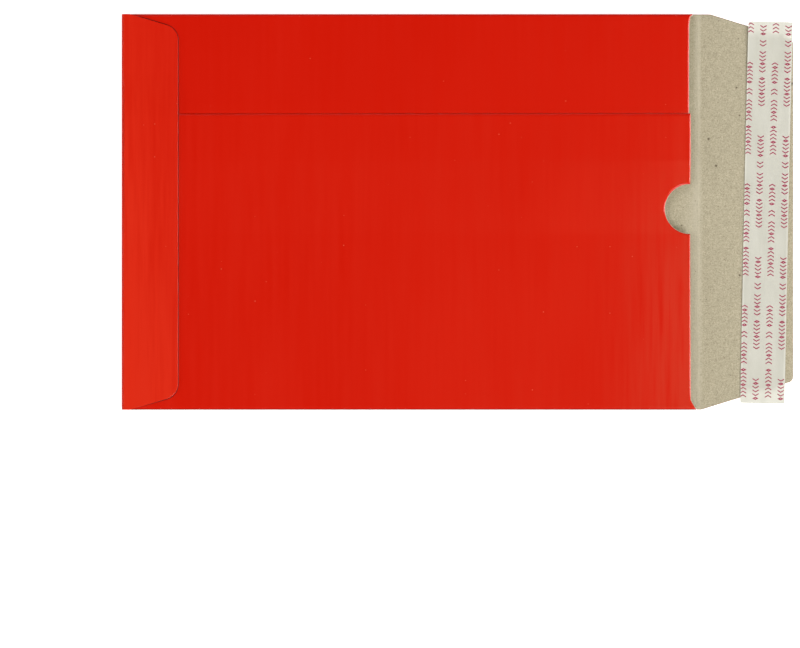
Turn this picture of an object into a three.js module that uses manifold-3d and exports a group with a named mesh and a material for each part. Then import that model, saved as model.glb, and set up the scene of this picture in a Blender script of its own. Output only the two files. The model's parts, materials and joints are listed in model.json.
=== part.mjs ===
// Cardboard envelope with a self-sealing closing flap, in millimetres, +Z up.
// It lies on its front panel with its seamed back upwards. The origin is the middle of the front
// panel's outer face, +X runs towards the mouth and the open flap, +Y towards the upper back strip.
import * as THREE from 'three';
import { mergeVertices } from 'three/addons/utils/BufferGeometryUtils.js';
import Module from 'manifold-3d';

const wasm = await Module();
wasm.setup();

// Board and pocket
const bodyLength = 236;          // closed end to crease
const bodyWidth = 162;           // long fold to long fold
const boardThickness = 0.6;
const pocketGap = 4.4;           // clear height that the folds spring the pocket open to
const foldRadius = 1.1;          // outside radius of every fold

// Long seam on the back
const seamFromFold = 40.8;       // visible width of the upper strip
const lapWidth = 19;             // glued lap hidden under the lower panel
const rampLength = 30;           // stretch over which the lower panel climbs onto the strip

// End flap, glued over both back panels
const endFlapDepth = 23;
const endFlapShoulder = 3.3;     // full-width stretch beside the end fold
const endFlapTaper = 16.7;       // degrees that each shoulder slopes in
const endFlapCorner = 5.3;
const drapeLength = 5;           // stretch over which the end flap comes down off the seam

// Mouth
const mouthSetback = 3.1;        // lower panel's edge to the crease
const stripSetback = 3.8;        // upper strip's edge to the crease
const upperReliefRun = 1.6;      // how far the strip's edge curves out at its fold
const upperReliefRise = 5.3;
const lowerReliefRun = 2.4;      // slanted corner of the lower panel at its fold
const lowerReliefRise = 3.9;
const notchRadius = 10.3;
const notchOffset = 1.1;         // thumb notch's centre above the middle line
const notchOutset = 0.2;         // notch centre's distance inside the mouth edge

// Closing flap
const flapDepth = 38.8;
const flapTaper = 17.3;          // degrees that each end of the flap slopes in
const upperShoulder = 5.2;       // full-width stretch beside the crease, on the strip's side
const lowerShoulder = 0.4;       // the same on the lower panel's side
const flapCorner = 2.2;
const creaseGap = 0.3;           // clear width between the pocket and the flap at the crease

// Adhesive strip and its release liner
const linerWidth = 17.6;
const linerLength = 156;
const linerThickness = 0.08;
const linerFromEdge = 11.1;      // liner's middle line to the flap's outer edge
const linerTilt = -1.15;         // degrees that both strips lie askew
const adhesiveWidth = 12;
const adhesiveLength = 146;
const adhesiveThickness = 0.12;
const layerGap = 0.02;           // clearance between the stuck layers

// Levels and edges that follow from the sizes above
const halfLength = bodyLength / 2;
const halfWidth = bodyWidth / 2;
const gapFloor = boardThickness;
const gapRoof = gapFloor + pocketGap;
const stripTop = gapRoof + boardThickness;
const lapTop = stripTop + boardThickness;
const seamY = halfWidth - seamFromFold;
const lapFootY = seamY - lapWidth;
const rampFootY = lapFootY - rampLength;
const mouthX = halfLength - mouthSetback;
const stripMouthX = halfLength - stripSetback;
const endX = -halfLength;
const endFlapEdgeX = endX + endFlapDepth;
const past = 20;                 // how far a cutter runs past the board
const arcSteps = 6;              // flats on a fold or a corner
const notchSteps = 32;           // flats on the thumb notch

const redBoard = new THREE.MeshStandardMaterial({ color: 0xd81e10, roughness: 0.28, metalness: 0 });
const greyBoard = new THREE.MeshStandardMaterial({ color: 0xbdb29a, roughness: 0.85, metalness: 0 });
const glueFilm = new THREE.MeshStandardMaterial({ color: 0xe6e2cf, roughness: 0.35, metalness: 0 });
const linerPaper = new THREE.MeshStandardMaterial({ color: 0xe4dfcc, roughness: 0.5, metalness: 0 });

const degrees = THREE.MathUtils.degToRad;

// Points of the arc about a centre, from one angle to another, both in degrees
function arc(centreX, centreY, radius, from, to, steps = arcSteps) {
  const points = [];
  for (let i = 0; i <= steps; i += 1) {
    const angle = degrees(from + ((to - from) * i) / steps);
    points.push([centreX + radius * Math.cos(angle), centreY + radius * Math.sin(angle)]);
  }
  return points;
}

// The fillet that rounds the corner at one point between its two neighbours
function fillet(before, corner, after, radius, steps = arcSteps) {
  const at = new THREE.Vector2(...corner);
  const back = new THREE.Vector2(...before).sub(at).normalize();
  const on = new THREE.Vector2(...after).sub(at).normalize();
  const halfAngle = Math.acos(THREE.MathUtils.clamp(back.dot(on), -1, 1)) / 2;
  const centre = back.clone().add(on).normalize().multiplyScalar(radius / Math.sin(halfAngle)).add(at);
  const tangent = radius / Math.tan(halfAngle);
  const start = at.clone().addScaledVector(back, tangent).sub(centre);
  const end = at.clone().addScaledVector(on, tangent).sub(centre);
  const sweep = Math.atan2(start.x * end.y - start.y * end.x, start.dot(end));
  const points = [];
  for (let i = 0; i <= steps; i += 1) {
    const p = start.clone().rotateAround(new THREE.Vector2(), (sweep * i) / steps).add(centre);
    points.push([p.x, p.y]);
  }
  return points;
}

function prism(points, depth) {
  const shape = new THREE.Shape(points.map(([x, y]) => new THREE.Vector2(x, y)));
  return new THREE.ExtrudeGeometry(shape, { depth, bevelEnabled: false });
}

// A plan outline, X and Y, raised from one level to another
function plate(points, bottom, top) {
  return solid(prism(points, top - bottom).translate(0, 0, bottom));
}

// A cross-section, Y and Z, run from one X to another
function run(points, fromX, toX) {
  const turn = new THREE.Matrix4().makeBasis(
    new THREE.Vector3(0, 1, 0),
    new THREE.Vector3(0, 0, 1),
    new THREE.Vector3(1, 0, 0),
  );
  return solid(prism(points, toX - fromX).applyMatrix4(turn).translate(fromX, 0, 0));
}

function solid(geometry) {
  geometry.deleteAttribute('normal');
  geometry.deleteAttribute('uv');
  const merged = mergeVertices(geometry, 1e-5);
  return new wasm.Manifold(new wasm.Mesh({
    numProp: 3,
    vertProperties: new Float32Array(merged.attributes.position.array),
    triVerts: new Uint32Array(merged.index.array),
  }));
}

function toGeometry(body) {
  const mesh = body.getMesh();
  const geometry = new THREE.BufferGeometry();
  geometry.setAttribute('position', new THREE.BufferAttribute(new Float32Array(mesh.vertProperties), 3));
  geometry.setIndex(new THREE.BufferAttribute(new Uint32Array(mesh.triVerts), 1));
  geometry.computeVertexNormals();
  return geometry;
}

// Back panels in section: the upper strip, and the lower panel that climbs onto it
function sleeveOutside() {
  const r = foldRadius;
  return [
    ...arc(halfWidth - r, r, r, -90, 0),
    ...arc(halfWidth - r, stripTop - r, r, 0, 90),
    [seamY, stripTop],
    [seamY, lapTop],
    [lapFootY, lapTop],
    [rampFootY, stripTop],
    ...arc(-halfWidth + r, stripTop - r, r, 90, 180),
    ...arc(-halfWidth + r, r, r, 180, 270),
  ];
}

function sleeveInside() {
  const wall = halfWidth - boardThickness;
  const r = foldRadius - boardThickness;
  return [
    ...arc(wall - r, gapFloor + r, r, -90, 0),
    ...arc(wall - r, gapRoof - r, r, 0, 90),
    [lapFootY, gapRoof],
    [lapFootY, stripTop],
    [rampFootY, gapRoof],
    ...arc(-wall + r, gapRoof - r, r, 90, 180),
    ...arc(-wall + r, gapFloor + r, r, 180, 270),
  ];
}

// Top face of the end flap in section, from +Y to -Y
function endFlapTopLine() {
  return [
    [halfWidth, stripTop + boardThickness],
    [seamY + drapeLength, stripTop + boardThickness],
    [seamY, lapTop + boardThickness],
    [lapFootY, lapTop + boardThickness],
    [rampFootY, stripTop + boardThickness],
    [-halfWidth, stripTop + boardThickness],
  ];
}

// End flap's plan: square beside its fold, then sloping in to two round corners
function endFlapPlan() {
  const shoulderX = endX + endFlapShoulder;
  const slopeDrop = (endFlapEdgeX - shoulderX) * Math.tan(degrees(endFlapTaper));
  const cornerY = halfWidth - slopeDrop;
  const upper = fillet([endFlapEdgeX, 0], [endFlapEdgeX, cornerY], [shoulderX, halfWidth], endFlapCorner);
  const lower = upper.map(([x, y]) => [x, -y]).reverse();
  return [
    [endX, -halfWidth],
    [shoulderX, -halfWidth],
    ...lower,
    ...upper,
    [shoulderX, halfWidth],
    [endX, halfWidth],
  ];
}

// A block under the end flap's top line whose closed end is rounded like a fold, built station by station
function roundedEndBlock() {
  const r = foldRadius;
  const stations = endFlapTopLine().reverse();
  const profileAt = (top) => [
    ...arc(endX + r, r, r, 180, 270),
    [halfLength + past, 0],
    [halfLength + past, top],
    ...arc(endX + r, top - r, r, 90, 180),
  ];
  const positions = [];
  for (const [y, top] of stations) {
    for (const [x, z] of profileAt(top)) positions.push(x, y, z);
  }
  const ring = positions.length / 3 / stations.length;
  const faces = [];
  for (let s = 0; s + 1 < stations.length; s += 1) {
    for (let i = 0; i < ring; i += 1) {
      const a = s * ring + i;
      const b = s * ring + ((i + 1) % ring);
      faces.push(a, b + ring, b, a, a + ring, b + ring);
    }
  }
  const flat = profileAt(stations[0][1]).map(([x, z]) => new THREE.Vector2(x, z));
  const last = (stations.length - 1) * ring;
  for (const [a, b, c] of THREE.ShapeUtils.triangulateShape(flat, [])) {
    faces.push(a, b, c, last + a, last + c, last + b);
  }
  const geometry = new THREE.BufferGeometry();
  geometry.setAttribute('position', new THREE.Float32BufferAttribute(positions, 3));
  geometry.setIndex(faces);
  return solid(geometry);
}

// What is cut away beyond the back panels' mouth edge, down to the front panel
function mouthCutter() {
  const plan = [
    [halfLength + past, -halfWidth - past],
    [halfLength + past, halfWidth + past],
    [stripMouthX + upperReliefRun, halfWidth + past],
    ...reliefCurve(),
    [stripMouthX, seamY],
    [mouthX, seamY],
    [mouthX, -halfWidth + lowerReliefRise],
    [mouthX + lowerReliefRun, -halfWidth],
    [mouthX + lowerReliefRun, -halfWidth - past],
  ];
  return plate(plan, gapFloor, lapTop + past);
}

// The strip's mouth edge sweeps out in a quarter of an ellipse as it meets its fold
function reliefCurve() {
  const points = [];
  for (let i = 0; i <= arcSteps; i += 1) {
    const angle = (Math.PI / 2) * (i / arcSteps);
    points.push([
      stripMouthX + upperReliefRun * (1 - Math.sin(angle)),
      halfWidth - upperReliefRise * (1 - Math.cos(angle)),
    ]);
  }
  return points;
}

function thumbNotch() {
  const centreX = mouthX - notchOutset;
  const round = arc(centreX, notchOffset, notchRadius, 90, 270, notchSteps);
  const open = mouthX + past;
  const plan = [...round, [open, notchOffset - notchRadius], [open, notchOffset + notchRadius]];
  return plate(plan, gapFloor, lapTop + past);
}

// One folded and glued sheet: front panel, both back panels and the end flap round an open pocket
function envelopeBoard() {
  const creaseX = halfLength - creaseGap / 2;
  const sleeve = run(sleeveOutside(), endX, creaseX).subtract(mouthCutter());
  const frontEdge = [
    [mouthX, -halfWidth],
    [creaseX, -halfWidth],
    [creaseX, halfWidth],
    [mouthX, halfWidth],
  ];
  const flapSection = [...endFlapTopLine(), [-halfWidth, stripTop - foldRadius], [halfWidth, stripTop - foldRadius]];
  const endFlap = run(flapSection, endX, endFlapEdgeX).intersect(plate(endFlapPlan(), 0, lapTop + past));
  const pocket = run(sleeveInside(), endX + boardThickness, halfLength + past);
  return sleeve
    .add(plate(frontEdge, 0, gapFloor))
    .add(endFlap)
    .subtract(pocket)
    .subtract(thumbNotch())
    .intersect(roundedEndBlock());
}

function closingFlapPlan() {
  const rootX = halfLength + creaseGap / 2;
  const edgeX = halfLength + flapDepth;
  const upperX = halfLength + upperShoulder;
  const lowerX = halfLength + lowerShoulder;
  const slope = Math.tan(degrees(flapTaper));
  const upper = [edgeX, halfWidth - (edgeX - upperX) * slope];
  const lower = [edgeX, -halfWidth + (edgeX - lowerX) * slope];
  return [
    [rootX, -halfWidth],
    [lowerX, -halfWidth],
    ...fillet([lowerX, -halfWidth], lower, upper, flapCorner),
    ...fillet(lower, upper, [upperX, halfWidth], flapCorner),
    [upperX, halfWidth],
    [rootX, halfWidth],
  ];
}

function strip(length, width, thickness, bottom) {
  const geometry = new THREE.BoxGeometry(width, length, thickness);
  geometry.rotateZ(degrees(linerTilt));
  return geometry.translate(halfLength + flapDepth - linerFromEdge, 0, bottom + thickness / 2);
}

function named(name, geometry, material) {
  const mesh = new THREE.Mesh(geometry, material);
  mesh.name = name;
  return mesh;
}

const adhesiveBottom = boardThickness + layerGap;
const linerBottom = adhesiveBottom + adhesiveThickness + layerGap;

const envelope = new THREE.Group();
envelope.add(
  named('envelope_board', toGeometry(envelopeBoard()), redBoard),
  named('closing_flap', toGeometry(plate(closingFlapPlan(), 0, boardThickness)), greyBoard),
  named('adhesive_strip', strip(adhesiveLength, adhesiveWidth, adhesiveThickness, adhesiveBottom), glueFilm),
  named('release_liner', strip(linerLength, linerWidth, linerThickness, linerBottom), linerPaper),
);

export default envelope;
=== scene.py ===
import json
import math
import random

import bmesh
import bpy
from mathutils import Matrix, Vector, noise


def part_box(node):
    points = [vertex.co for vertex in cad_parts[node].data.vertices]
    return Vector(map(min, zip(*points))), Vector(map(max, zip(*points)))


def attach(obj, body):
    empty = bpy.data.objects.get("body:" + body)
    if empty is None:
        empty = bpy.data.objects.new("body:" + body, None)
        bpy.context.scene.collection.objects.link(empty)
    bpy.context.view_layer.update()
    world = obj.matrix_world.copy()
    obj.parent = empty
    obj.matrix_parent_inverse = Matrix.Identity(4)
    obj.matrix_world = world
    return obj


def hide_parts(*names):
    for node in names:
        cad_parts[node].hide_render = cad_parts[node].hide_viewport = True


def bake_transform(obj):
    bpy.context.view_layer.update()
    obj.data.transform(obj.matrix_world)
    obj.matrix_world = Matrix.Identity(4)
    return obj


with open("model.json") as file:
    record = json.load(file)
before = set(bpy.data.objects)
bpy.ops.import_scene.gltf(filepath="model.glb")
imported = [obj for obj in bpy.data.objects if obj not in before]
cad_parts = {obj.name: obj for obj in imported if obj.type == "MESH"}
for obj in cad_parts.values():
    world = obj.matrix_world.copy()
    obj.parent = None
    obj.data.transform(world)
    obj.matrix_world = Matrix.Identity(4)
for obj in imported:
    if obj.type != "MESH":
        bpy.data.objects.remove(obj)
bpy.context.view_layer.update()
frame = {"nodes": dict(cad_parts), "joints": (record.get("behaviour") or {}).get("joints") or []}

mm = 0.001
near = 0.01 * mm  # how close a point lies to a line to count as on it
boardLow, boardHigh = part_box("envelope_board")
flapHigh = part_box("closing_flap")[1]
linerLow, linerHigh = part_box("release_liner")
crease = Vector(frame["joints"][0]["pos_m"])

# Material places on the board sheet
redFace, greyFace, cutFace, crackShadeFace, rimFace = range(5)


# Selecting and finishing, used by every piece

def startClean():
    if bpy.context.object and bpy.context.object.mode != "OBJECT":
        bpy.ops.object.mode_set(mode="OBJECT")
    bpy.ops.object.select_all(action="DESELECT")


def selectOnly(piece):
    startClean()
    piece.select_set(True)
    bpy.context.view_layer.objects.active = piece


def editOnly(piece):
    selectOnly(piece)
    bpy.ops.object.mode_set(mode="EDIT")


def bakeTransform():
    bpy.ops.object.transform_apply(location=True, rotation=True, scale=True)


def middleOf(part):
    if hasattr(part, "co"):
        return part.co.copy()
    if hasattr(part, "calc_center_median"):
        return part.calc_center_median()
    return (part.verts[0].co + part.verts[1].co) / 2


def selectWhere(kind, test):
    # kind is VERT, EDGE or FACE, and test is given the part's middle and the part
    bpy.ops.mesh.select_mode(type=kind)
    bpy.ops.mesh.select_all(action="DESELECT")
    live = bmesh.from_edit_mesh(bpy.context.edit_object.data)
    parts = {"VERT": live.verts, "EDGE": live.edges, "FACE": live.faces}[kind]
    chosen = [part for part in parts if test(middleOf(part), part)]
    for part in chosen:
        part.select_set(True)
    bmesh.update_edit_mesh(bpy.context.edit_object.data)
    return len(chosen)


def cutAcross(point, normal, clearOuter=False):
    bpy.ops.mesh.bisect(plane_co=point, plane_no=normal, clear_outer=clearOuter, threshold=1e-7)


def cutAllAcross(point, normal, clearOuter=False):
    bpy.ops.mesh.select_all(action="SELECT")
    cutAcross(point, normal, clearOuter)


def moveVerts(test, place):
    live = bmesh.from_edit_mesh(bpy.context.edit_object.data)
    for vert in live.verts:
        if test(vert.co):
            vert.co = place(vert.co.copy())
    bmesh.update_edit_mesh(bpy.context.edit_object.data)


def applyModifier(piece, kind, **settings):
    selectOnly(piece)
    modifier = piece.modifiers.new(kind.title(), kind)
    for name, value in settings.items():
        setattr(modifier, name, value)
    bpy.ops.object.modifier_apply(modifier=modifier.name)


def smoothByAngle(piece, degrees):
    selectOnly(piece)
    bpy.ops.object.shade_smooth_by_angle(angle=math.radians(degrees))


# Node helpers

def newMaterial(name):
    material = bpy.data.materials.new(name)
    material.use_nodes = True
    material.node_tree.nodes.clear()
    return material, material.node_tree


def addNode(tree, kind, **settings):
    node = tree.nodes.new(kind)
    for name, value in settings.items():
        if name in node.inputs.keys():
            node.inputs[name].default_value = value
        else:
            setattr(node, name, value)
    return node


def mathNode(tree, operation, first, second=None, clamp=False):
    node = tree.nodes.new("ShaderNodeMath")
    node.operation = operation
    node.use_clamp = clamp
    for socket, value in ((0, first), (1, second)):
        if value is None:
            continue
        if isinstance(value, (int, float)):
            node.inputs[socket].default_value = value
        else:
            tree.links.new(value, node.inputs[socket])
    return node.outputs[0]


def mixColours(tree, factor, first, second):
    node = tree.nodes.new("ShaderNodeMix")
    node.data_type = "RGBA"
    for socket, value in ((0, factor), (6, first), (7, second)):
        if isinstance(value, (int, float, tuple)):
            node.inputs[socket].default_value = value
        else:
            tree.links.new(value, node.inputs[socket])
    return node.outputs[2]


def stretched(tree, source, scale):
    node = addNode(tree, "ShaderNodeMapping")
    node.inputs["Scale"].default_value = scale
    tree.links.new(source, node.inputs["Vector"])
    return node.outputs[0]


def noiseOf(tree, source, scale, detail=2.0, roughness=0.5, distortion=0.0):
    node = addNode(tree, "ShaderNodeTexNoise", Scale=scale, Detail=detail, Roughness=roughness,
                   Distortion=distortion)
    tree.links.new(source, node.inputs["Vector"])
    return node.outputs["Fac"]


def ranged(tree, value, fromLow, fromHigh, toLow, toHigh):
    node = addNode(tree, "ShaderNodeMapRange", clamp=True)
    for name, number in (("From Min", fromLow), ("From Max", fromHigh), ("To Min", toLow), ("To Max", toHigh)):
        node.inputs[name].default_value = number
    tree.links.new(value, node.inputs["Value"])
    return node.outputs[0]


def onPiece(tree):
    return addNode(tree, "ShaderNodeTexCoord").outputs["Object"]


def attributeOf(tree, name):
    return addNode(tree, "ShaderNodeAttribute", attribute_name=name).outputs["Fac"]


def addBump(tree, shader, height, strength, distance):
    bump = addNode(tree, "ShaderNodeBump", Strength=strength, Distance=distance)
    tree.links.new(height, bump.inputs["Height"])
    tree.links.new(bump.outputs[0], shader.inputs["Normal"])


def finishMaterial(tree, shader):
    output = addNode(tree, "ShaderNodeOutputMaterial")
    tree.links.new(shader.outputs[0], output.inputs["Surface"])


def newGroup(name, inputs, outputs):
    # A node group whose plain number inputs carry the value that they start from
    group = bpy.data.node_groups.new(name, "ShaderNodeTree")
    group.interface.new_socket("Vector", in_out="INPUT", socket_type="NodeSocketVector")
    for label, value in inputs:
        group.interface.new_socket(label, in_out="INPUT", socket_type="NodeSocketFloat").default_value = value
    for label in outputs:
        group.interface.new_socket(label, in_out="OUTPUT", socket_type="NodeSocketFloat")
    return group, group.nodes.new("NodeGroupInput"), group.nodes.new("NodeGroupOutput")


def makeSpeckGroup():
    # Small round specks: Scale sets how close their cells lie, Size their radius, Share how many cells have one
    crispness = 30.0
    group, source, result = newGroup("scatteredSpecks", (("Scale", 400.0), ("Size", 0.2), ("Share", 0.2)), ["Mask"])
    cells = addNode(group, "ShaderNodeTexVoronoi", voronoi_dimensions="2D")
    group.links.new(source.outputs["Vector"], cells.inputs["Vector"])
    group.links.new(source.outputs["Scale"], cells.inputs["Scale"])
    split = addNode(group, "ShaderNodeSeparateColor")
    group.links.new(cells.outputs["Color"], split.inputs[0])
    chosen = mathNode(group, "LESS_THAN", split.outputs[0], source.outputs["Share"])
    size = mathNode(group, "MULTIPLY", source.outputs["Size"], split.outputs[1])
    inside = mathNode(group, "SUBTRACT", size, cells.outputs["Distance"])
    soft = mathNode(group, "MULTIPLY", inside, crispness, clamp=True)
    group.links.new(mathNode(group, "MULTIPLY", soft, chosen), result.inputs["Mask"])
    return group


def specks(tree, source, scale, size, share):
    node = tree.nodes.new("ShaderNodeGroup")
    node.node_tree = speckGroup
    node.inputs["Scale"].default_value = scale
    node.inputs["Size"].default_value = size
    node.inputs["Share"].default_value = share
    tree.links.new(source, node.inputs["Vector"])
    return node.outputs["Mask"]


fibreLook = {
    "cloudScale": 420, "fineScale": 2100, "fineShare": 0.75, "hairScales": (1300, 1100), "hairShare": 0.25,
    "hairSqueeze": 0.25,
}


def makeFibreGroup():
    # Felted board fibre: a soft cloud, and a fine grain with short crossing hairs in it
    group, source, result = newGroup("boardFibre", (), ["Cloud", "Grain"])
    place = source.outputs["Vector"]
    group.links.new(noiseOf(group, place, fibreLook["cloudScale"], 3.0, 0.6), result.inputs["Cloud"])
    fine = noiseOf(group, place, fibreLook["fineScale"], 1.0, 0.6, 1.0)
    squeeze, (scaleAlong, scaleAcross) = fibreLook["hairSqueeze"], fibreLook["hairScales"]
    hairsAlong = noiseOf(group, stretched(group, place, (1.0, squeeze, 1.0)), scaleAlong, 1.0, 0.5, 1.5)
    hairsAcross = noiseOf(group, stretched(group, place, (squeeze, 1.0, 1.0)), scaleAcross, 1.0, 0.5, 1.5)
    hairs = mathNode(group, "MULTIPLY", mathNode(group, "ADD", hairsAlong, hairsAcross), 0.5)
    grain = mathNode(group, "ADD", mathNode(group, "MULTIPLY", fine, fibreLook["fineShare"]),
                     mathNode(group, "MULTIPLY", hairs, fibreLook["hairShare"]))
    group.links.new(grain, result.inputs["Grain"])
    return group


def fibreOf(tree, source):
    node = tree.nodes.new("ShaderNodeGroup")
    node.node_tree = fibreGroup
    tree.links.new(source, node.inputs["Vector"])
    return node.outputs


speckGroup = makeSpeckGroup()
fibreGroup = makeFibreGroup()


# Materials

redGloss = {
    "deep": (0.590, 0.0068, 0.0010, 1), "light": (0.608, 0.0082, 0.0015, 1), "dust": (0.80, 0.25, 0.16, 1),
    "pale": (0.680, 0.0215, 0.0065, 1), "foldShadow": (0.200, 0.0030, 0.0010, 1), "paintedSheen": (0.600, 0.0235, 0.0100, 1),
    "streakSqueeze": (1.0, 0.035, 1.0), "streakScale": 560, "cloudScale": 14, "dustCells": 220, "dustSize": 0.07,
    "dustShare": 0.05, "dustStrength": 0.5, "roughness": 0.24, "streakRoughness": 0.03,
    "peelScale": 700, "peelHeight": 0.006, "sweepScale": 14, "sweepHeight": 1.2, "relief": 1.2 * mm,
}


def makeRedBoard():
    # Glossy print, brushed across by fine streaks, with painted highlight, painted shadow and painted sheen mixed
    # in from two point attributes
    material, tree = newMaterial("redGlossBoard")
    place = onPiece(tree)
    shader = addNode(tree, "ShaderNodeBsdfPrincipled", IOR=1.47)
    streaks = noiseOf(tree, stretched(tree, place, redGloss["streakSqueeze"]), redGloss["streakScale"], 3.0, 0.6)
    clouds = noiseOf(tree, place, redGloss["cloudScale"], 2.0)
    dust = specks(tree, place, redGloss["dustCells"], redGloss["dustSize"], redGloss["dustShare"])
    dust = mathNode(tree, "MULTIPLY", dust, redGloss["dustStrength"])
    tone = ranged(tree, mathNode(tree, "ADD", mathNode(tree, "MULTIPLY", streaks, 0.5), clouds), 0.5, 1.0, 0.0, 1.0)
    colour = mixColours(tree, tone, redGloss["deep"], redGloss["light"])
    colour = mixColours(tree, dust, colour, redGloss["dust"])

    shade = attributeOf(tree, "paintedLightAndShade")
    paler = mathNode(tree, "MULTIPLY", shade, ranged(tree, streaks, 0.3, 0.7, 0.6, 1.4), clamp=True)
    darker = mathNode(tree, "MULTIPLY", shade, -1.0, clamp=True)
    # Painted sheen near the mouth's lower corner, broken up by the streaks
    brushed = ranged(tree, streaks, 0.3, 0.7, 0.2, 1.8)
    paintedSheen = mathNode(tree, "MULTIPLY", attributeOf(tree, "paintedSheenMask"), brushed, clamp=True)
    # Painted highlight: the print is mixed paler on the left fold and the end flap, and a little on the lower panel
    colour = mixColours(tree, paler, colour, redGloss["pale"])
    # Painted shadow along the lower fold's outer edge
    colour = mixColours(tree, darker, colour, redGloss["foldShadow"])
    colour = mixColours(tree, paintedSheen, colour, redGloss["paintedSheen"])
    tree.links.new(colour, shader.inputs["Base Color"])

    low, spread = redGloss["roughness"], redGloss["streakRoughness"]
    tree.links.new(ranged(tree, streaks, 0.3, 0.7, low - spread, low + spread), shader.inputs["Roughness"])
    peel = mathNode(tree, "MULTIPLY", noiseOf(tree, place, redGloss["peelScale"], 2.0, 0.5), redGloss["peelHeight"])
    sweep = noiseOf(tree, stretched(tree, place, (1.0, 0.45, 1.0)), redGloss["sweepScale"], 1.0, 0.4)
    sweep = mathNode(tree, "MULTIPLY", sweep, redGloss["sweepHeight"])
    addBump(tree, shader, mathNode(tree, "ADD", peel, sweep), 1.0, redGloss["relief"])
    finishMaterial(tree, shader)
    return material


greyInner = {
    "low": (0.340, 0.299, 0.209, 1), "high": (0.545, 0.491, 0.357, 1), "scoredAndPaintedLight": (0.58, 0.53, 0.41, 1),
    "speck": (0.10, 0.075, 0.045, 1),
}
greyGrain = {
    "cloudShare": 0.10, "grainShare": 0.90, "combScale": 1600, "fewCells": 90, "fewSize": 0.085, "fewShare": 0.3,
    "fineCells": 420, "fineSize": 0.14, "fineShare": 0.16, "fineStrength": 0.55, "speckStrength": 0.85,
    "relief": 0.06 * mm,
}
greyRimShade = {  # painted shade on the closing flap's grey cut edges, pressed round by the die
    "low": (0.230, 0.200, 0.138, 1), "high": (0.380, 0.340, 0.240, 1), "scoredAndPaintedLight": (0.42, 0.38, 0.29, 1),
    "speck": (0.08, 0.06, 0.04, 1),
}


def makeGreyBoard(name, look):
    # Plain recycled board, paler along the crease, where the score stretches it and where painted light lifts the
    # pocket's shade beside the mouth
    material, tree = newMaterial(name)
    place = onPiece(tree)
    shader = addNode(tree, "ShaderNodeBsdfPrincipled", Roughness=0.88, IOR=1.4)
    fibre = fibreOf(tree, place)
    cloudy = mathNode(tree, "MULTIPLY", fibre["Cloud"], greyGrain["cloudShare"])
    grainy = mathNode(tree, "MULTIPLY", fibre["Grain"], greyGrain["grainShare"])
    tone = ranged(tree, mathNode(tree, "ADD", cloudy, grainy), 0.36, 0.64, 0.0, 1.0)
    colour = mixColours(tree, tone, look["low"], look["high"])
    combed = noiseOf(tree, stretched(tree, place, (1.0, 0.06, 1.0)), greyGrain["combScale"], 2.0, 0.6)
    # Painted light, partly real scoring, lightens the band along the crease
    paler = mathNode(tree, "MULTIPLY", attributeOf(tree, "creaseAndPaintedLight"), ranged(tree, combed, 0.3, 0.7, 0.25, 0.75))
    colour = mixColours(tree, paler, colour, look["scoredAndPaintedLight"])
    few = specks(tree, place, greyGrain["fewCells"], greyGrain["fewSize"], greyGrain["fewShare"])
    fine = specks(tree, place, greyGrain["fineCells"], greyGrain["fineSize"], greyGrain["fineShare"])
    dark = mathNode(tree, "MAXIMUM", few, mathNode(tree, "MULTIPLY", fine, greyGrain["fineStrength"]))
    dark = mathNode(tree, "MULTIPLY", dark, greyGrain["speckStrength"])
    tree.links.new(mixColours(tree, dark, colour, look["speck"]), shader.inputs["Base Color"])
    addBump(tree, shader, fibre["Grain"], 0.5, greyGrain["relief"])
    finishMaterial(tree, shader)
    return material


cutCore = {
    "low": (0.47, 0.38, 0.29, 1), "high": (0.66, 0.57, 0.46, 1), "layers": (1.0, 1.0, 4.0), "relief": 0.08 * mm,
}


def makeCutEdge():
    # The board's layers, bared by the die
    material, tree = newMaterial("dieCutEdge")
    shader = addNode(tree, "ShaderNodeBsdfPrincipled", Roughness=0.8, IOR=1.4)
    grain = fibreOf(tree, stretched(tree, onPiece(tree), cutCore["layers"]))["Grain"]
    tone = ranged(tree, grain, 0.4, 0.6, 0.0, 1.0)
    tree.links.new(mixColours(tree, tone, cutCore["low"], cutCore["high"]), shader.inputs["Base Color"])
    addBump(tree, shader, grain, 0.6, cutCore["relief"])
    finishMaterial(tree, shader)
    return material


# Painted shade for the crack along the glued end flap's edge
crackShadeLook = {
    "low": (0.075, 0.003, 0.003, 1), "high": (0.170, 0.010, 0.008, 1), "gloss": 0.15, "relief": 0.08 * mm,
}


def makeCrackShade():
    # Dark maroon on the end flap's glued edge: painted shade of the crack where it meets the panel below
    material, tree = newMaterial("crackShadeEdge")
    shader = addNode(tree, "ShaderNodeBsdfPrincipled", Roughness=0.7)
    shader.inputs["Specular IOR Level"].default_value = crackShadeLook["gloss"]
    grain = fibreOf(tree, onPiece(tree))["Grain"]
    tone = ranged(tree, grain, 0.42, 0.62, 0.0, 1.0)
    tree.links.new(mixColours(tree, tone, crackShadeLook["low"], crackShadeLook["high"]), shader.inputs["Base Color"])
    addBump(tree, shader, grain, 0.6, crackShadeLook["relief"])
    finishMaterial(tree, shader)
    return material


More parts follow.
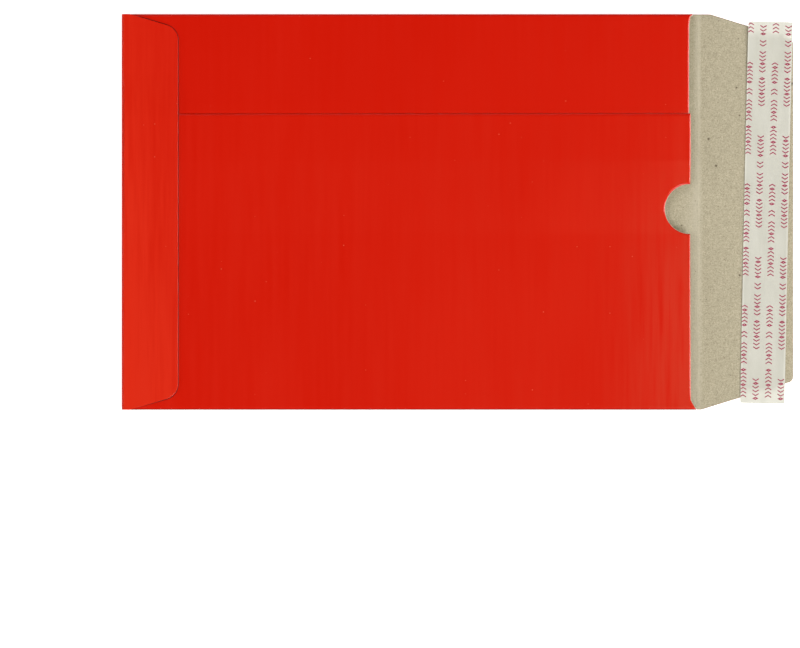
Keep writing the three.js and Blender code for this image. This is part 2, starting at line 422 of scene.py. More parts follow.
liner = {
    "length": 156.4 * mm, "width": 18.2 * mm, "tilt": -1.15, "cells": 60, "rows": 4,
    "thickness": 0.07 * mm, "ripple": 0.03 * mm, "shift": (0.3 * mm, -0.2 * mm),
    "ripplesAcross": 60, "ripplesAlong": 45, "rippleStart": 0.3,
    "curve": 0.25 * mm, "loose": 0.4 * mm, "looseFrom": 42 * mm, "looseMiddle": 0.6, "looseTurn": 0.4,
}
linerMiddle = Vector(((linerLow.x + linerHigh.x) / 2 + liner["shift"][0],
                      (linerLow.y + linerHigh.y) / 2 + liner["shift"][1], linerHigh.z))
linerLook = {
    "low": (0.735, 0.728, 0.655, 1), "high": (0.800, 0.793, 0.722, 1), "overGlue": 0.68, "clear": 0.92,
    "glueHalf": 8.45 * mm, "glueEnd": 73 * mm, "fade": 0.25 * mm, "endFade": 1.6 * mm, "edgeClear": 0.6,
    "cloudScale": 160, "rippleScale": 90, "relief": 0.3 * mm,
}


def makeLinerPaper():
    material, tree = newMaterial("linerPaper")
    place = onPiece(tree)
    shader = addNode(tree, "ShaderNodeBsdfPrincipled", Roughness=0.38, IOR=1.45)
    cloud = noiseOf(tree, stretched(tree, place, (1.0, 0.3, 1.0)), linerLook["cloudScale"], 3.0, 0.6)
    tone = ranged(tree, cloud, 0.35, 0.65, 0.0, 1.0)
    tree.links.new(mixColours(tree, tone, linerLook["low"], linerLook["high"]), shader.inputs["Base Color"])
    # The glue below shows through the thin paper, but not at its edges and ends
    turned = addNode(tree, "ShaderNodeMapping", vector_type="TEXTURE")
    turned.inputs["Location"].default_value = linerMiddle
    turned.inputs["Rotation"].default_value = (0, 0, math.radians(liner["tilt"]))
    tree.links.new(place, turned.inputs["Vector"])
    split = addNode(tree, "ShaderNodeSeparateXYZ")
    tree.links.new(turned.outputs[0], split.inputs[0])
    fade = linerLook["fade"]
    beside = ranged(tree, mathNode(tree, "ABSOLUTE", split.outputs["X"]), linerLook["glueHalf"] - fade,
                    linerLook["glueHalf"] + fade, 0.0, 1.0)
    endFade = linerLook["endFade"]
    beyond = ranged(tree, mathNode(tree, "ABSOLUTE", split.outputs["Y"]), linerLook["glueEnd"] - endFade,
                    linerLook["glueEnd"] + endFade, 0.0, 1.0)
    clear = mathNode(tree, "MAXIMUM", mathNode(tree, "MULTIPLY", beside, linerLook["edgeClear"]), beyond)
    tree.links.new(ranged(tree, clear, 0.0, 1.0, linerLook["overGlue"], linerLook["clear"]), shader.inputs["Alpha"])
    ripple = noiseOf(tree, stretched(tree, place, (0.5, 1.0, 1.0)), linerLook["rippleScale"], 2.0)
    addBump(tree, shader, ripple, 0.6, linerLook["relief"])
    finishMaterial(tree, shader)
    return material


inkLook = {"full": (0.330, 0.016, 0.066, 1), "worn": (0.450, 0.085, 0.160, 1), "wearScale": 1400}


def makeLinerInk():
    material, tree = newMaterial("linerInk")
    shader = addNode(tree, "ShaderNodeBsdfPrincipled", Roughness=0.5, IOR=1.45)
    wear = ranged(tree, noiseOf(tree, onPiece(tree), inkLook["wearScale"], 3.0, 0.7), 0.42, 0.70, 0.0, 1.0)
    tree.links.new(mixColours(tree, wear, inkLook["full"], inkLook["worn"]), shader.inputs["Base Color"])
    finishMaterial(tree, shader)
    return material


filmLook = {
    "low": (0.50, 0.45, 0.31, 1), "high": (0.62, 0.58, 0.44, 1), "glossy": 0.12, "dull": 0.3, "blotchScale": 220,
    "relief": 0.1 * mm,
}


def makeAdhesive():
    material, tree = newMaterial("tackyFilm")
    shader = addNode(tree, "ShaderNodeBsdfPrincipled", IOR=1.48)
    blotch = noiseOf(tree, onPiece(tree), filmLook["blotchScale"], 3.0, 0.6)
    tone = ranged(tree, blotch, 0.35, 0.65, 0.0, 1.0)
    tree.links.new(mixColours(tree, tone, filmLook["low"], filmLook["high"]), shader.inputs["Base Color"])
    sheen = ranged(tree, blotch, 0.3, 0.7, filmLook["glossy"], filmLook["dull"])
    tree.links.new(sheen, shader.inputs["Roughness"])
    addBump(tree, shader, blotch, 0.4, filmLook["relief"])
    finishMaterial(tree, shader)
    return material


redBoard = makeRedBoard()
greyBoard = makeGreyBoard("greyInnerBoard", greyInner)
rimShadeBoard = makeGreyBoard("paintedShadeRim", greyRimShade)
cutEdge = makeCutEdge()
crackShadeEdge = makeCrackShade()
linerPaper = makeLinerPaper()
linerInk = makeLinerInk()
tackyFilm = makeAdhesive()
print("materials made")


# The board: one sheet from the end flap, round the pocket, to the closing flap's outer edge

board = {
    "thickness": 0.6 * mm, "pocketGap": 4.4 * mm, "foldRadius": 1.1 * mm, "foldSteps": 8, "layerGap": 0.03 * mm,
    "seamFromFold": 40.8 * mm, "lapWidth": 19 * mm, "rampLength": 30 * mm, "cornerSteps": 10,
    "endFlapDepth": 23 * mm, "endShoulder": 3.3 * mm, "endTaper": 16.7, "endCorner": 6 * mm,
    "drape": 16 * mm, "drapeCuts": 4,
    "flapTaper": 17.3, "upperShoulder": 5.2 * mm, "lowerShoulder": 1.4 * mm, "flapCorner": 2.2 * mm,
    "flapGrow": 0.25 * mm,
    "mouthSetback": 3.25 * mm, "stripSetback": 3.95 * mm, "cutGap": 0.3 * mm, "mouthReach": 0.4 * mm,
    "upperReliefRun": 1.6 * mm, "upperReliefRise": 5.3 * mm, "upperReliefCuts": 6,
    "lowerReliefRun": 2.4 * mm, "lowerReliefRise": 3.9 * mm,
    "notchRadius": 10.3 * mm, "notchOffset": 1.1 * mm, "notchOutset": 0.2 * mm, "notchLean": 0.30 * mm,
    "notchSides": 96,
    "flare": 0.32 * mm, "endFlare": 0.30 * mm, "endLip": 0.07 * mm, "seamLip": 0.55 * mm, "seamSpread": 1.9,
    "mouthLip": 0.42 * mm, "mouthZone": 20 * mm, "flapLip": 0.15 * mm, "rimLip": 0.28 * mm, "lipSteps": 4,
    "cell": 6 * mm, "bendStart": -0.6 * mm, "bendEnd": 2.6 * mm, "bendCuts": 24,
    "dome": 0.25 * mm, "mouthDip": 1.5 * mm, "dipSharpness": 6,
    "wave": 0.16 * mm, "wavesAlong": 14, "wavesAcross": 18, "waveStart": 2.7,
    "beadWidth": 2.6 * mm, "beadHeight": 0.035 * mm,
    "bandShift": -0.6 * mm, "bandHalf": 2.9 * mm, "bandNarrowing": 0.45,
}
stripTop = 2 * board["thickness"] + board["pocketGap"]
endTop = stripTop + board["thickness"] + board["layerGap"]
layerStep = board["thickness"] + board["layerGap"]
backOf = 0.6 * stripTop  # all that lies higher belongs to the back panels
flatLeft, flatHalf = boardLow.x + board["foldRadius"], boardHigh.y - board["foldRadius"]
seamY = boardHigh.y - board["seamFromFold"]
lapFootY = seamY - board["lapWidth"]
rampFootY = lapFootY - board["rampLength"]
endShoulderX = boardLow.x + board["endShoulder"]
endEdgeX = boardLow.x + board["endFlapDepth"]
mouthX = crease.x - board["mouthSetback"]
stripX = crease.x - board["stripSetback"]
notchX = mouthX - board["notchOutset"]
flapEndX = flapHigh.x + board["flapGrow"]


def mouthLine(y, onStrip):
    # How far out the back panels' mouth edge lies at a given Y
    if y > boardHigh.y - board["upperReliefRise"]:
        rise = (y - boardHigh.y + board["upperReliefRise"]) / board["upperReliefRise"]
        sweep = 1 - math.sqrt(max(0.0, 1 - rise * rise))
        return stripX + board["upperReliefRun"] * sweep
    if onStrip:
        return stripX
    if y > boardLow.y + board["lowerReliefRise"]:
        return mouthX
    fall = (boardLow.y + board["lowerReliefRise"] - y) / board["lowerReliefRise"]
    return mouthX + board["lowerReliefRun"] * fall


upperSideX = mouthLine(boardHigh.y, True)
lowerSideX = mouthLine(boardLow.y, False)


def isStrip(point):
    return point.y > lapFootY - near and point.z < stripTop + board["thickness"] / 2


def endLift(y):
    # The end flap rides up over the lower panel's ramp and lap, and drapes down past the seam
    up = (y - rampFootY) / board["rampLength"]
    down = (seamY + board["drape"] - y) / board["drape"]
    return layerStep * max(0.0, min(1.0, up, down))


def sleeveSide(z):
    # Half the folded sleeve's breadth at a height, which the end wall fills out to
    r = board["foldRadius"]
    return flatHalf + math.sqrt(max(0.0, r * r - max(0.0, r - z) ** 2))


def extrudeBy(x, y, z):
    bpy.ops.mesh.extrude_region_move(TRANSFORM_OT_translate={"value": (x, y, z)})


def wrapOver(edgeTest, hinge, axis, turn, top, run):
    # Turns a straight edge of the front panel up and back over it: fold, wall, fold and a flat run
    r, steps = board["foldRadius"], board["foldSteps"]
    selectWhere("EDGE", edgeTest)
    bpy.ops.mesh.spin(steps=steps, angle=turn, center=(*hinge, r), axis=axis)
    extrudeBy(0, 0, top - 2 * r)
    bpy.ops.mesh.spin(steps=steps, angle=turn, center=(*hinge, top - r), axis=axis)
    extrudeBy(*run)


def taperEnd(faceTest, start, taper, side):
    slope = math.radians(taper)
    selectWhere("FACE", faceTest)
    cutAcross(start, (math.sin(slope), side * math.cos(slope), 0), clearOuter=True)


def roundCorners(vertTest, radius, taper):
    turn = math.radians(90 - taper) / 2
    selectWhere("VERT", vertTest)
    bpy.ops.mesh.bevel(offset=radius * math.tan(turn), offset_type="OFFSET", affect="VERTICES",
                       segments=board["cornerSteps"])


def layFront():
    # Front panel and closing flap in one flat sheet, which is full width only beyond the folds
    startClean()
    bpy.ops.mesh.primitive_plane_add(size=1, location=((flatLeft + flapEndX) / 2, 0, 0))
    sheet = bpy.context.object
    sheet.name = sheet.data.name = "boardSheet"
    sheet.scale = (flapEndX - flatLeft, 2 * flatHalf, 1)
    bakeTransform()
    editOnly(sheet)
    bpy.ops.mesh.select_all(action="SELECT")
    bpy.ops.mesh.flip_normals()
    for x in (upperSideX, upperSideX + board["cutGap"], lowerSideX, lowerSideX + board["cutGap"]):
        cutAllAcross((x, 0, 0), (1, 0, 0))
    moveVerts(lambda p: p.y > flatHalf - near and p.x > upperSideX + near,
              lambda p: Vector((p.x, boardHigh.y, p.z)))
    moveVerts(lambda p: p.y < -flatHalf + near and p.x > lowerSideX + near,
              lambda p: Vector((p.x, boardLow.y, p.z)))
    return sheet


def trimClosingFlap():
    for side, shoulder in ((1, board["upperShoulder"]), (-1, board["lowerShoulder"])):
        start = (crease.x + shoulder, side * boardHigh.y, 0)
        taperEnd(lambda p, face: p.x > lowerSideX, start, board["flapTaper"], side)
    roundCorners(lambda p, vert: p.x > flapEndX - near, board["flapCorner"], board["flapTaper"])


def raiseEndFlap():
    # Up the closed end and over the back panels
    wrapOver(lambda p, edge: p.x < flatLeft + near and abs(p.y) < flatHalf - near and p.z < near,
             (flatLeft, 0), (0, 1, 0), -math.pi / 2, endTop, (endShoulderX - flatLeft, 0, 0))
    extrudeBy(board["endFlapDepth"] - board["endShoulder"], 0, 0)
    moveVerts(lambda p: (p.x < flatLeft - near or p.z > endTop - near) and abs(abs(p.y) - flatHalf) < near,
              lambda p: Vector((p.x, math.copysign(sleeveSide(p.z), p.y), p.z)))
    for side in (1, -1):
        start = (endShoulderX, side * boardHigh.y, endTop)
        taperEnd(lambda p, face: p.z > endTop - near and endShoulderX < p.x < endEdgeX, start,
                 board["endTaper"], side)
    roundCorners(lambda p, vert: p.z > endTop - near and abs(p.x - endEdgeX) < near, board["endCorner"],
                 board["endTaper"])
    cuts = board["drapeCuts"]
    for y in [seamY + board["drape"] * k / cuts for k in range(cuts + 1)] + [lapFootY, rampFootY]:
        selectWhere("FACE", lambda p, face: p.x < endEdgeX and p.z > board["foldRadius"] / 2)
        cutAcross((0, y, 0), (0, 1, 0))
    moveVerts(lambda p: p.x < endEdgeX + near and p.z > endTop - near, lambda p: p + Vector((0, 0, endLift(p.y))))


def foldSides():
    # Upper strip, then lower panel with its ramp and lap
    wrapOver(lambda p, edge: abs(p.y - flatHalf) < near and p.x < upperSideX,
             (0, flatHalf), (1, 0, 0), -math.pi / 2, stripTop, (0, lapFootY - flatHalf, 0))
    wrapOver(lambda p, edge: abs(p.y + flatHalf) < near and p.x < lowerSideX and p.z < near,
             (0, -flatHalf), (1, 0, 0), math.pi / 2, stripTop, (0, flatHalf + rampFootY, 0))
    extrudeBy(0, board["rampLength"], layerStep)
    extrudeBy(0, board["lapWidth"], 0)


def trimMouth():
    cuts = board["upperReliefCuts"]
    for k in range(cuts + 1):
        y = boardHigh.y - board["upperReliefRise"] * k / cuts
        if y < flatHalf - board["cutGap"]:
            cutAllAcross((0, y, 0), (0, 1, 0))
    cutAllAcross((0, boardLow.y + board["lowerReliefRise"], 0), (0, 1, 0))
    moveVerts(lambda p: stripX - board["mouthReach"] < p.x < crease.x and p.z > backOf,
              lambda p: Vector((mouthLine(p.y, isStrip(p)), p.y, p.z)))


def buildBoard():
    sheet = layFront()
    trimClosingFlap()
    raiseEndFlap()
    foldSides()
    trimMouth()
    bpy.ops.mesh.select_all(action="SELECT")
    bpy.ops.mesh.remove_doubles(threshold=1e-6)
    bpy.ops.mesh.normals_make_consistent(inside=False)
    bpy.ops.object.mode_set(mode="OBJECT")
    print("board folded")
    return sheet


def thickenBoard(sheet):
    # The sheet drawn so far is the printed face, and the board's thickness lies inside it
    for material in (redBoard, greyBoard, cutEdge, crackShadeEdge, rimShadeBoard):
        sheet.data.materials.append(material)
    if not all(face.normal.z < 0 for face in sheet.data.polygons if face.center.z < near):
        editOnly(sheet)
        bpy.ops.mesh.select_all(action="SELECT")
        bpy.ops.mesh.flip_normals()
        bpy.ops.object.mode_set(mode="OBJECT")
    applyModifier(sheet, "SOLIDIFY", thickness=board["thickness"], offset=-1, use_even_offset=True,
                  use_quality_normals=True, material_offset=greyFace, material_offset_rim=cutFace)


def cutNotch(sheet):
    # A shallow cone, so that the cut edge leans out a little as a punched one does
    startClean()
    depth = board["pocketGap"]
    lean = board["notchLean"] / board["thickness"] * depth / 2
    bottom = board["notchRadius"] - lean
    bpy.ops.mesh.primitive_cone_add(vertices=board["notchSides"], radius1=bottom, radius2=bottom + 2 * lean,
                                    depth=depth, location=(notchX, board["notchOffset"], stripTop))
    cutter = bpy.context.object
    cutter.data.materials.append(cutEdge)
    applyModifier(sheet, "BOOLEAN", operation="DIFFERENCE", solver="EXACT", object=cutter,
                  material_mode="TRANSFER")
    bpy.data.objects.remove(cutter)


def isNotchWall(point):
    away = math.hypot(point.x - notchX, point.y - board["notchOffset"])
    return away < board["notchRadius"] + 0.5 * mm and point.z > stripTop - board["thickness"]


def flareEdges(sheet):
    # The inner layer of a die-cut edge stands out past the printed face, but not at the folds' ends
    editOnly(sheet)
    pastEndFlap = endEdgeX + 1 * mm
    live = bmesh.from_edit_mesh(sheet.data)
    for vert in live.verts:
        rims = [face for face in vert.link_faces if face.material_index == cutFace]
        inner = any(face.material_index == greyFace for face in vert.link_faces)
        if not rims or not inner or vert.co.z < backOf or isNotchWall(vert.co):
            continue
        if abs(vert.co.y) > boardHigh.y - 1.5 * board["foldRadius"] or vert.co.x < boardLow.x + 1.5 * mm:
            continue
        out = Vector((0, 0, 0))
        for face in rims:
            out += Vector((face.normal.x, face.normal.y, 0))
        onEndFlap = vert.co.x < pastEndFlap and vert.co.z > stripTop - 0.1 * mm
        if out.length > 0.1:
            vert.co += out.normalized() * board["endFlare" if onEndFlap else "flare"]
    # The end flap's free edge gets the painted crack shade, apart from where it runs square to the folds
    for face in live.faces:
        middle = face.calc_center_median()
        if face.material_index == cutFace and middle.z > stripTop and middle.x < pastEndFlap:
            if middle.x > boardLow.x + 1 * mm and abs(face.normal.y) < 0.999:
                face.material_index = crackShadeFace
    bmesh.update_edit_mesh(sheet.data)
    bpy.ops.object.mode_set(mode="OBJECT")


def softenLips(sheet):
    # The die crushes the board over at every cut edge, and each place has its own roundness
    places = (
        (board["endLip"], redFace, lambda p: p.z > stripTop + 0.3 * mm and p.x < endEdgeX + 0.5 * mm),
        (board["seamLip"], redFace, lambda p: p.z > backOf and abs(p.y - seamY) < 0.2 * mm),
        (board["mouthLip"], redFace, lambda p: p.z > backOf and p.x > boardHigh.x - board["mouthZone"]
         and abs(p.y - seamY) > 0.3 * mm),
        (board["flapLip"], redFace, lambda p: p.z < 0.1 * mm and p.x > mouthX),
        # The grey lips of the closing flap take the darker rim colour as painted shade
        (board["rimLip"], greyFace, lambda p: p.z < 2 * board["thickness"] and p.x > mouthX),
    )
    editOnly(sheet)
    for offset, side, here in places:
        def isLip(middle, edge):
            kinds = {face.material_index for face in edge.link_faces}
            return len(edge.link_faces) == 2 and kinds in ({side, cutFace}, {side, crackShadeFace}) and here(middle)

        found = selectWhere("EDGE", isLip)
        bpy.ops.mesh.bevel(offset=offset, offset_type="OFFSET", segments=board["lipSteps"], profile=0.5,
                           affect="EDGES", clamp_overlap=False, material=rimFace if side == greyFace else redFace)
        print("lip rounded on", found, "edges")
    # The glued lap is pressed thin, so its lip runs out wider than it is high
    lip = board["seamLip"]
    moveVerts(lambda p: p.z > stripTop + 0.02 * mm and near < seamY - p.y < 1.02 * lip,
              lambda p: Vector((p.x, seamY - (seamY - p.y) * board["seamSpread"], p.z)))
    bpy.ops.object.mode_set(mode="OBJECT")


def gridBoard(sheet):
    # Rows and columns of vertices over the large faces, close together where the crease bends
    editOnly(sheet)
    cell = board["cell"]
    for i in range(1, int((crease.x - boardLow.x) / cell)):
        cutAllAcross((boardLow.x + i * cell, 0, 0), (1, 0, 0))
    for i in range(1, int(2 * boardHigh.y / cell)):
        cutAllAcross((0, boardLow.y + i * cell, 0), (0, 1, 0))
    bend = board["bendEnd"] - board["bendStart"]
    for i in range(board["bendCuts"] + 1):
        x = crease.x + board["bendStart"] + bend * i / board["bendCuts"]
        selectWhere("FACE", lambda p, face: p.z < board["thickness"] + 0.1 * mm and p.x > crease.x - 2 * bend)
        cutAcross((x, 0, 0), (1, 0, 0))
    bpy.ops.object.mode_set(mode="OBJECT")


def bowOf(x, y):
    # The empty pocket's back panels: a faint dome, a dip at the mouth and long soft waves
    across = math.cos(min(1.0, abs(y) / boardHigh.y) * math.pi / 2)
    along = (x - boardLow.x) / (crease.x - boardLow.x)
    dome = board["dome"] * across * math.sin(min(1.0, max(0.0, along)) * math.pi)
    dip = board["mouthDip"] * across * max(0.0, along) ** board["dipSharpness"]
    place = Vector((x * board["wavesAlong"], y * board["wavesAcross"], board["waveStart"]))
    return dome - dip + board["wave"] * noise.noise(place) * across


def bowBoard(sheet):
    # The walls take up the bow by their height, and the front panel has none
    low, high = board["thickness"], stripTop - board["thickness"]
    for vert in sheet.data.vertices:
        share = max(0.0, min(1.0, (vert.co.z - low) / (high - low)))
        if share > 0 and vert.co.x < crease.x:
            vert.co.z += share * bowOf(vert.co.x, vert.co.y)


def raiseCreaseBead(sheet):
    half = board["beadWidth"] / 2
    for vert in sheet.data.vertices:
        off = abs(vert.co.x - crease.x)
        if off < half and vert.co.z < 2 * board["thickness"]:
            vert.co.z += board["beadHeight"] * math.cos(off / half * math.pi / 2) ** 2


def markCrease(sheet):
    # How far each point is stretched by the score, for the paler band along the crease, which is also painted light
    # that lifts the pocket's shade beside the mouth
    band = sheet.data.attributes.new("creaseAndPaintedLight", "FLOAT", "POINT")
    for vert, value in zip(sheet.data.vertices, band.data):
        # Narrower towards the upper end, where the pocket shades the board beside the mouth
        upper = max(0.0, min(1.0, vert.co.y / (boardHigh.y / 2)))
        half = board["bandHalf"] * (1 - board["bandNarrowing"] * upper)
        off = (vert.co.x - crease.x - board["bandShift"] * (1 - upper)) / half
        value.value = max(0.0, 1 - off * off) if vert.co.z < 2 * board["thickness"] else 0.0


paintedTones = {
    "fold": 1.3, "foldReach": 0.9 * mm, "lowFold": -1.0, "lowFoldUnder": (0.25, 0.95), "panel": 0.1,
    "endUpper": 0.45, "endGain": 0.7, "endOuter": 1.15, "endFall": 0.5, "endReach": 0.6 * mm, "endAbove": 0.3 * mm,
    "sheenFrom": 70 * mm, "sheenFade": 25 * mm, "sheenMost": 1.1, "sheenCurve": 1.5, "sheenLeast": 0.1,
}


def paintedLightTones(x, y, z):
    # Painted highlight (above zero) and painted shadow (below zero) for each panel and fold, with the lower panel a
    # little paler, then the painted sheen near the mouth
    # Painted highlight along the left fold
    if x < boardLow.x + paintedTones["foldReach"]:
        return paintedTones["fold"], 0.0
    # Painted highlight on the end flap, lighter towards the bottom and the outer fold
    if x < endEdgeX + paintedTones["endReach"] and z > stripTop + paintedTones["endAbove"]:
        down = (boardHigh.y - y) / (2 * boardHigh.y)
        inward = (x - boardLow.x) / board["endFlapDepth"]
        return (paintedTones["endUpper"] + paintedTones["endGain"] * down) * (paintedTones["endOuter"] - paintedTones["endFall"] * inward), 0.0
    # Painted shadow on a thin band of the lower fold's outer edge
    under = (stripTop - z) / board["foldRadius"]
    least, most = paintedTones["lowFoldUnder"]
    if y < boardLow.y + 0.5 * board["foldRadius"] and least < under < most:
        return paintedTones["lowFold"], 0.0
    # A slightly paler lower panel, and painted sheen that grows towards the mouth and the lower fold
    if y < seamY + 0.05 * mm and z > stripTop / 2:
        along = max(0.0, min(1.0, (x - paintedTones["sheenFrom"]) / (boardHigh.x - paintedTones["sheenFrom"])))
        low = max(paintedTones["sheenLeast"], min(1.0, 0.5 - y / (2 * paintedTones["sheenFade"])))
        return paintedTones["panel"], paintedTones["sheenMost"] * along ** paintedTones["sheenCurve"] * low
    return 0.0, 0.0


def markPaintedLight(sheet):
    shade = sheet.data.attributes.new("paintedLightAndShade", "FLOAT", "POINT")
    paintedSheen = sheet.data.attributes.new("paintedSheenMask", "FLOAT", "POINT")
    for vert, pale, sheenValue in zip(sheet.data.vertices, shade.data, paintedSheen.data):
        pale.value, sheenValue.value = paintedLightTones(*vert.co)


sheet = buildBoard()
thickenBoard(sheet)
cutNotch(sheet)
flareEdges(sheet)
softenLips(sheet)
gridBoard(sheet)
bowBoard(sheet)
raiseCreaseBead(sheet)
smoothByAngle(sheet, 32)
applyModifier(sheet, "WEIGHTED_NORMAL", keep_sharp=True, weight=80)
markCrease(sheet)
markPaintedLight(sheet)
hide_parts("envelope_board", "closing_flap")
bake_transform(sheet)
print("board sheet done:", len(sheet.data.polygons), "faces")


# Release liner and the marks printed on it

def layPaper(piece, lift):
    # The strip ripples a little, runs aside near its upper end and comes loose there
    half = liner["length"] / 2
    for vert in piece.data.vertices:
        x, y = vert.co.x, vert.co.y
        place = Vector((x * liner["ripplesAcross"], y * liner["ripplesAlong"], liner["rippleStart"]))
        wave = liner["ripple"] * noise.noise(place)
        loose = max(0.0, (y - liner["looseFrom"]) / (half - liner["looseFrom"]))
        vert.co.x = x + liner["curve"] * max(0.0, y / half) ** 2
        turn = liner["looseMiddle"] - liner["looseTurn"] * x / (liner["width"] / 2)
        vert.co.z = lift + wave + liner["loose"] * loose * turn


def settleOnFlap(piece):
    piece.rotation_euler.z = math.radians(liner["tilt"])
    piece.location = linerMiddle
    selectOnly(piece)
    bakeTransform()


def buildLiner():
    startClean()
    bpy.ops.mesh.primitive_grid_add(x_subdivisions=liner["rows"], y_subdivisions=liner["cells"], size=1,
                                    location=(0, 0, 0))
    strip = bpy.context.object
    strip.name = strip.data.name = "linerStrip"
    strip.scale = (liner["width"], liner["length"], 1)
    bakeTransform()
    layPaper(strip, 0)
    strip.data.materials.append(linerPaper)
    applyModifier(strip, "SOLIDIFY", thickness=liner["thickness"], offset=-1)
    settleOnFlap(strip)
    smoothByAngle(strip, 30)
    return strip


marks = {
    "columns": 4, "pitch": 5.15 * mm, "firstColumn": -8.05 * mm, "height": 2.6 * mm, "stroke": 0.46 * mm,
    "rise": 0.62 * mm, "lift": 0.015 * mm, "depth": 0.01 * mm, "jitter": 0.03,
    "groups": (-1, 5), "groupLength": 39.8 * mm, "period": 49.8 * mm, "oddStart": 16.4 * mm, "evenStart": -3.4 * mm,
    "runs": (6, 2, 6, 8), "lozengeEvery": 4, "endGap": 0.5 * mm, "sideGap": 0.05 * mm,
}


def oneMark(name, points, faces):
    mesh = bpy.data.meshes.new(name)
    mesh.from_pydata([(x, y, 0) for x, y in points], [], faces)
    piece = bpy.data.objects.new(name, mesh)
    bpy.context.scene.collection.objects.link(piece)
    return piece


def scatterMarks(chevron, lozenge):
    # Broken rows that run along the strip, alternate columns opposite ways
    places, at = [], 0
    for count in marks["runs"]:
        places += [at + k for k in range(count)]
        at += count + 1
    pitch = marks["groupLength"] / at
    edge = liner["length"] / 2
    copies = []
    random.seed(7)
    for column in range(marks["columns"]):
        x = marks["firstColumn"] + column * marks["pitch"]
        start, way = (marks["oddStart"], 1) if column % 2 == 0 else (marks["evenStart"], -1)
        for group in range(*marks["groups"]):
            top = edge - start - group * marks["period"]
            for k in places:
                y = top - (k + 0.5) * pitch
                if abs(y) > edge - marks["endGap"]:
                    continue
                source = lozenge if k % marks["lozengeEvery"] == 1 else chevron
                copy = source.copy()
                copy.data = source.data.copy()
                bpy.context.scene.collection.objects.link(copy)
                copy.location = (x + random.uniform(-marks["jitter"], marks["jitter"]) * mm, y, 0)
                copy.scale = (1, way, 1)
                copies.append(copy)
    return copies


def buildMarks():
    half, rise, stroke = marks["height"] / 2, marks["rise"], marks["stroke"]
    inner = half * (1 - stroke / rise)
    chevron = oneMark("chevron", [(-half, -rise), (0, rise - stroke), (half, -rise), (half, stroke - rise),
                                  (0, rise), (-half, stroke - rise)], [(0, 1, 4, 5), (1, 2, 3, 4)])
    lozenge = oneMark("lozenge", [(-half, 0), (0, -rise), (half, 0), (0, rise), (-inner, 0), (0, stroke - rise),
                                  (inner, 0), (0, rise - stroke)],
                      [(0, 1, 5, 4), (1, 2, 6, 5), (2, 3, 7, 6), (3, 0, 4, 7)])
    copies = scatterMarks(chevron, lozenge)
    for source in (chevron, lozenge):
        bpy.data.objects.remove(source)
    startClean()
    for copy in copies:
        copy.select_set(True)
    bpy.context.view_layer.objects.active = copies[0]
    bakeTransform()
    bpy.ops.object.join()
    printed = bpy.context.object
    printed.name = printed.data.name = "linerMarks"
    editOnly(printed)
    cutAllAcross((marks["sideGap"] - liner["width"] / 2, 0, 0), (-1, 0, 0), clearOuter=True)
    bpy.ops.mesh.select_all(action="SELECT")
    bpy.ops.mesh.normals_make_consistent(inside=False)
    bpy.ops.object.mode_set(mode="OBJECT")
    layPaper(printed, marks["lift"])
    applyModifier(printed, "SOLIDIFY", thickness=marks["depth"], offset=-1)
    printed.data.materials.clear()
    printed.data.materials.append(linerInk)
    settleOnFlap(printed)
    return printed


linerStrip = buildLiner()
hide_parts("release_liner")
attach(linerStrip, "flap")
linerMarks = buildMarks()
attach(linerMarks, "flap")
adhesive = frame["nodes"]["adhesive_strip"]
adhesive.data.materials.clear()
adhesive.data.materials.append(tackyFilm)
print("liner and marks done")


# Floor, light and camera

stage = {"floorSize": 12.0, "floorLevel": -0.0003, "floorTone": (0.93, 0.93, 0.93, 1), "floorGlow": 0.7}
room = {"paleBelow": 0.1, "dimAbove": 0.7, "pale": 0.16, "dim": 0.03, "backdrop": 0.95}
softboxes = (
    ("keyLight", (1.9, -2.6, 2.6), (1.95, 1.5), 106, True, (1, 1, 1)),
    ("rightLight", (3.6, -0.3, 1.65), (1.2, 1.8), 124, True, (1, 0.97, 0.92)),
    ("leftLight", (-1.45, -0.3, 2.0), (1.1, 1.1), 15, False, (1, 1, 1)),
    ("lowLeftLight", (-2.4, -0.3, 0.7), (0.9, 0.9), 16, False, (1, 1, 1)),
    ("backLight", (-0.2, 1.8, 1.8), (1.1, 1.1), 13, False, (1, 1, 1)),
    ("topCard", (0.5, -0.42, 2.3), (0.35, 0.35), 2.6, True, (1, 0.92, 0.45)),
)
photo = {"width": 800, "height": 648, "bodyMiddle": (410, 212.0), "mmPerPixel": 0.4096}
cameraView = {"lens": 420, "sensor": 36}


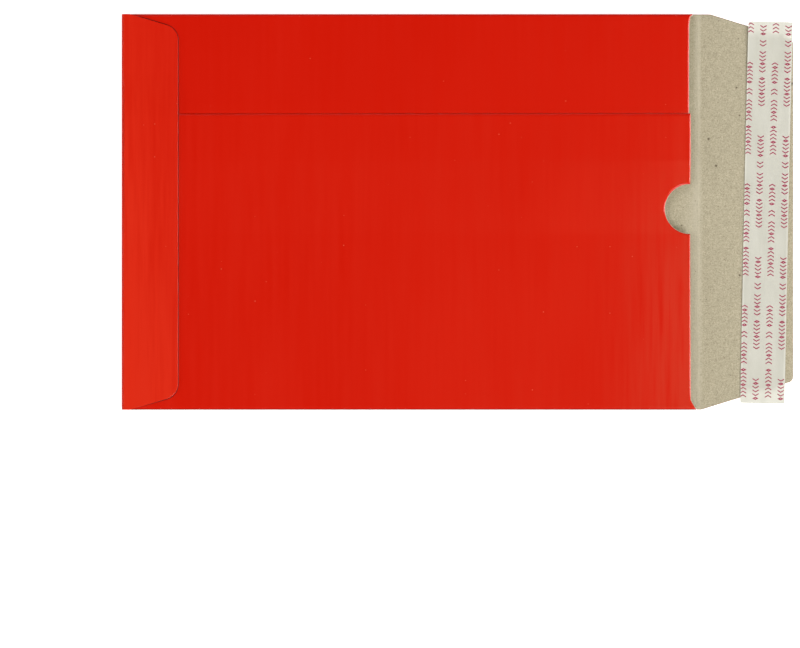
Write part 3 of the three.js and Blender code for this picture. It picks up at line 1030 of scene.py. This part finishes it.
def buildFloor():
    startClean()
    bpy.ops.mesh.primitive_plane_add(size=stage["floorSize"], location=(0, 0, stage["floorLevel"]))
    floor = bpy.context.object
    floor.name = "paleFloor"
    material, tree = newMaterial("paleFloor")
    shader = addNode(tree, "ShaderNodeBsdfPrincipled", Roughness=0.9)
    shader.inputs["Base Color"].default_value = stage["floorTone"]
    shader.inputs["Emission Color"].default_value = (1, 1, 1, 1)
    shader.inputs["Emission Strength"].default_value = stage["floorGlow"]
    finishMaterial(tree, shader)
    floor.data.materials.append(material)
    floor.visible_glossy = False


def addSoftbox(name, place, size, power, inGloss, colour):
    light = bpy.data.lights.new(name, "AREA")
    light.shape = "RECTANGLE"
    light.size, light.size_y = size
    light.energy = power
    light.color = colour
    box = bpy.data.objects.new(name, light)
    box.location = place
    box.rotation_euler = (-Vector(place)).to_track_quat("-Z", "Y").to_euler()
    box.visible_camera = False
    box.visible_glossy = inGloss
    bpy.context.scene.collection.objects.link(box)


def buildLight():
    world = bpy.data.worlds.new("softRoom")
    bpy.context.scene.world = world
    world.use_nodes = True
    tree = world.node_tree
    background = tree.nodes["Background"]
    split = addNode(tree, "ShaderNodeSeparateXYZ")
    tree.links.new(addNode(tree, "ShaderNodeTexCoord").outputs["Generated"], split.inputs[0])
    # Pale round the sides and dim overhead, so that flat gloss keeps its own colour
    glow = ranged(tree, split.outputs["Z"], room["paleBelow"], room["dimAbove"], room["pale"], room["dim"])
    cameraRay = addNode(tree, "ShaderNodeLightPath").outputs["Is Camera Ray"]
    seen = mathNode(tree, "MULTIPLY", cameraRay, room["backdrop"])
    tree.links.new(mathNode(tree, "MAXIMUM", glow, seen), background.inputs["Strength"])
    for softbox in softboxes:
        addSoftbox(*softbox)
    bpy.context.scene.view_settings.view_transform = "Standard"


def buildCamera():
    lens = bpy.data.cameras.new("topCamera")
    lens.lens, lens.sensor_width = cameraView["lens"], cameraView["sensor"]
    camera = bpy.data.objects.new("topCamera", lens)
    scale = photo["mmPerPixel"] * mm
    x = (photo["width"] / 2 - photo["bodyMiddle"][0]) * scale
    y = (photo["bodyMiddle"][1] - photo["height"] / 2) * scale
    distance = photo["width"] * scale * cameraView["lens"] / cameraView["sensor"]
    camera.location = (x, y, distance + boardHigh.z / 2)
    lens.clip_end = 2 * distance
    bpy.context.scene.collection.objects.link(camera)
    bpy.context.scene.camera = camera


buildFloor()
buildLight()
buildCamera()
startClean()
print("scene ready")
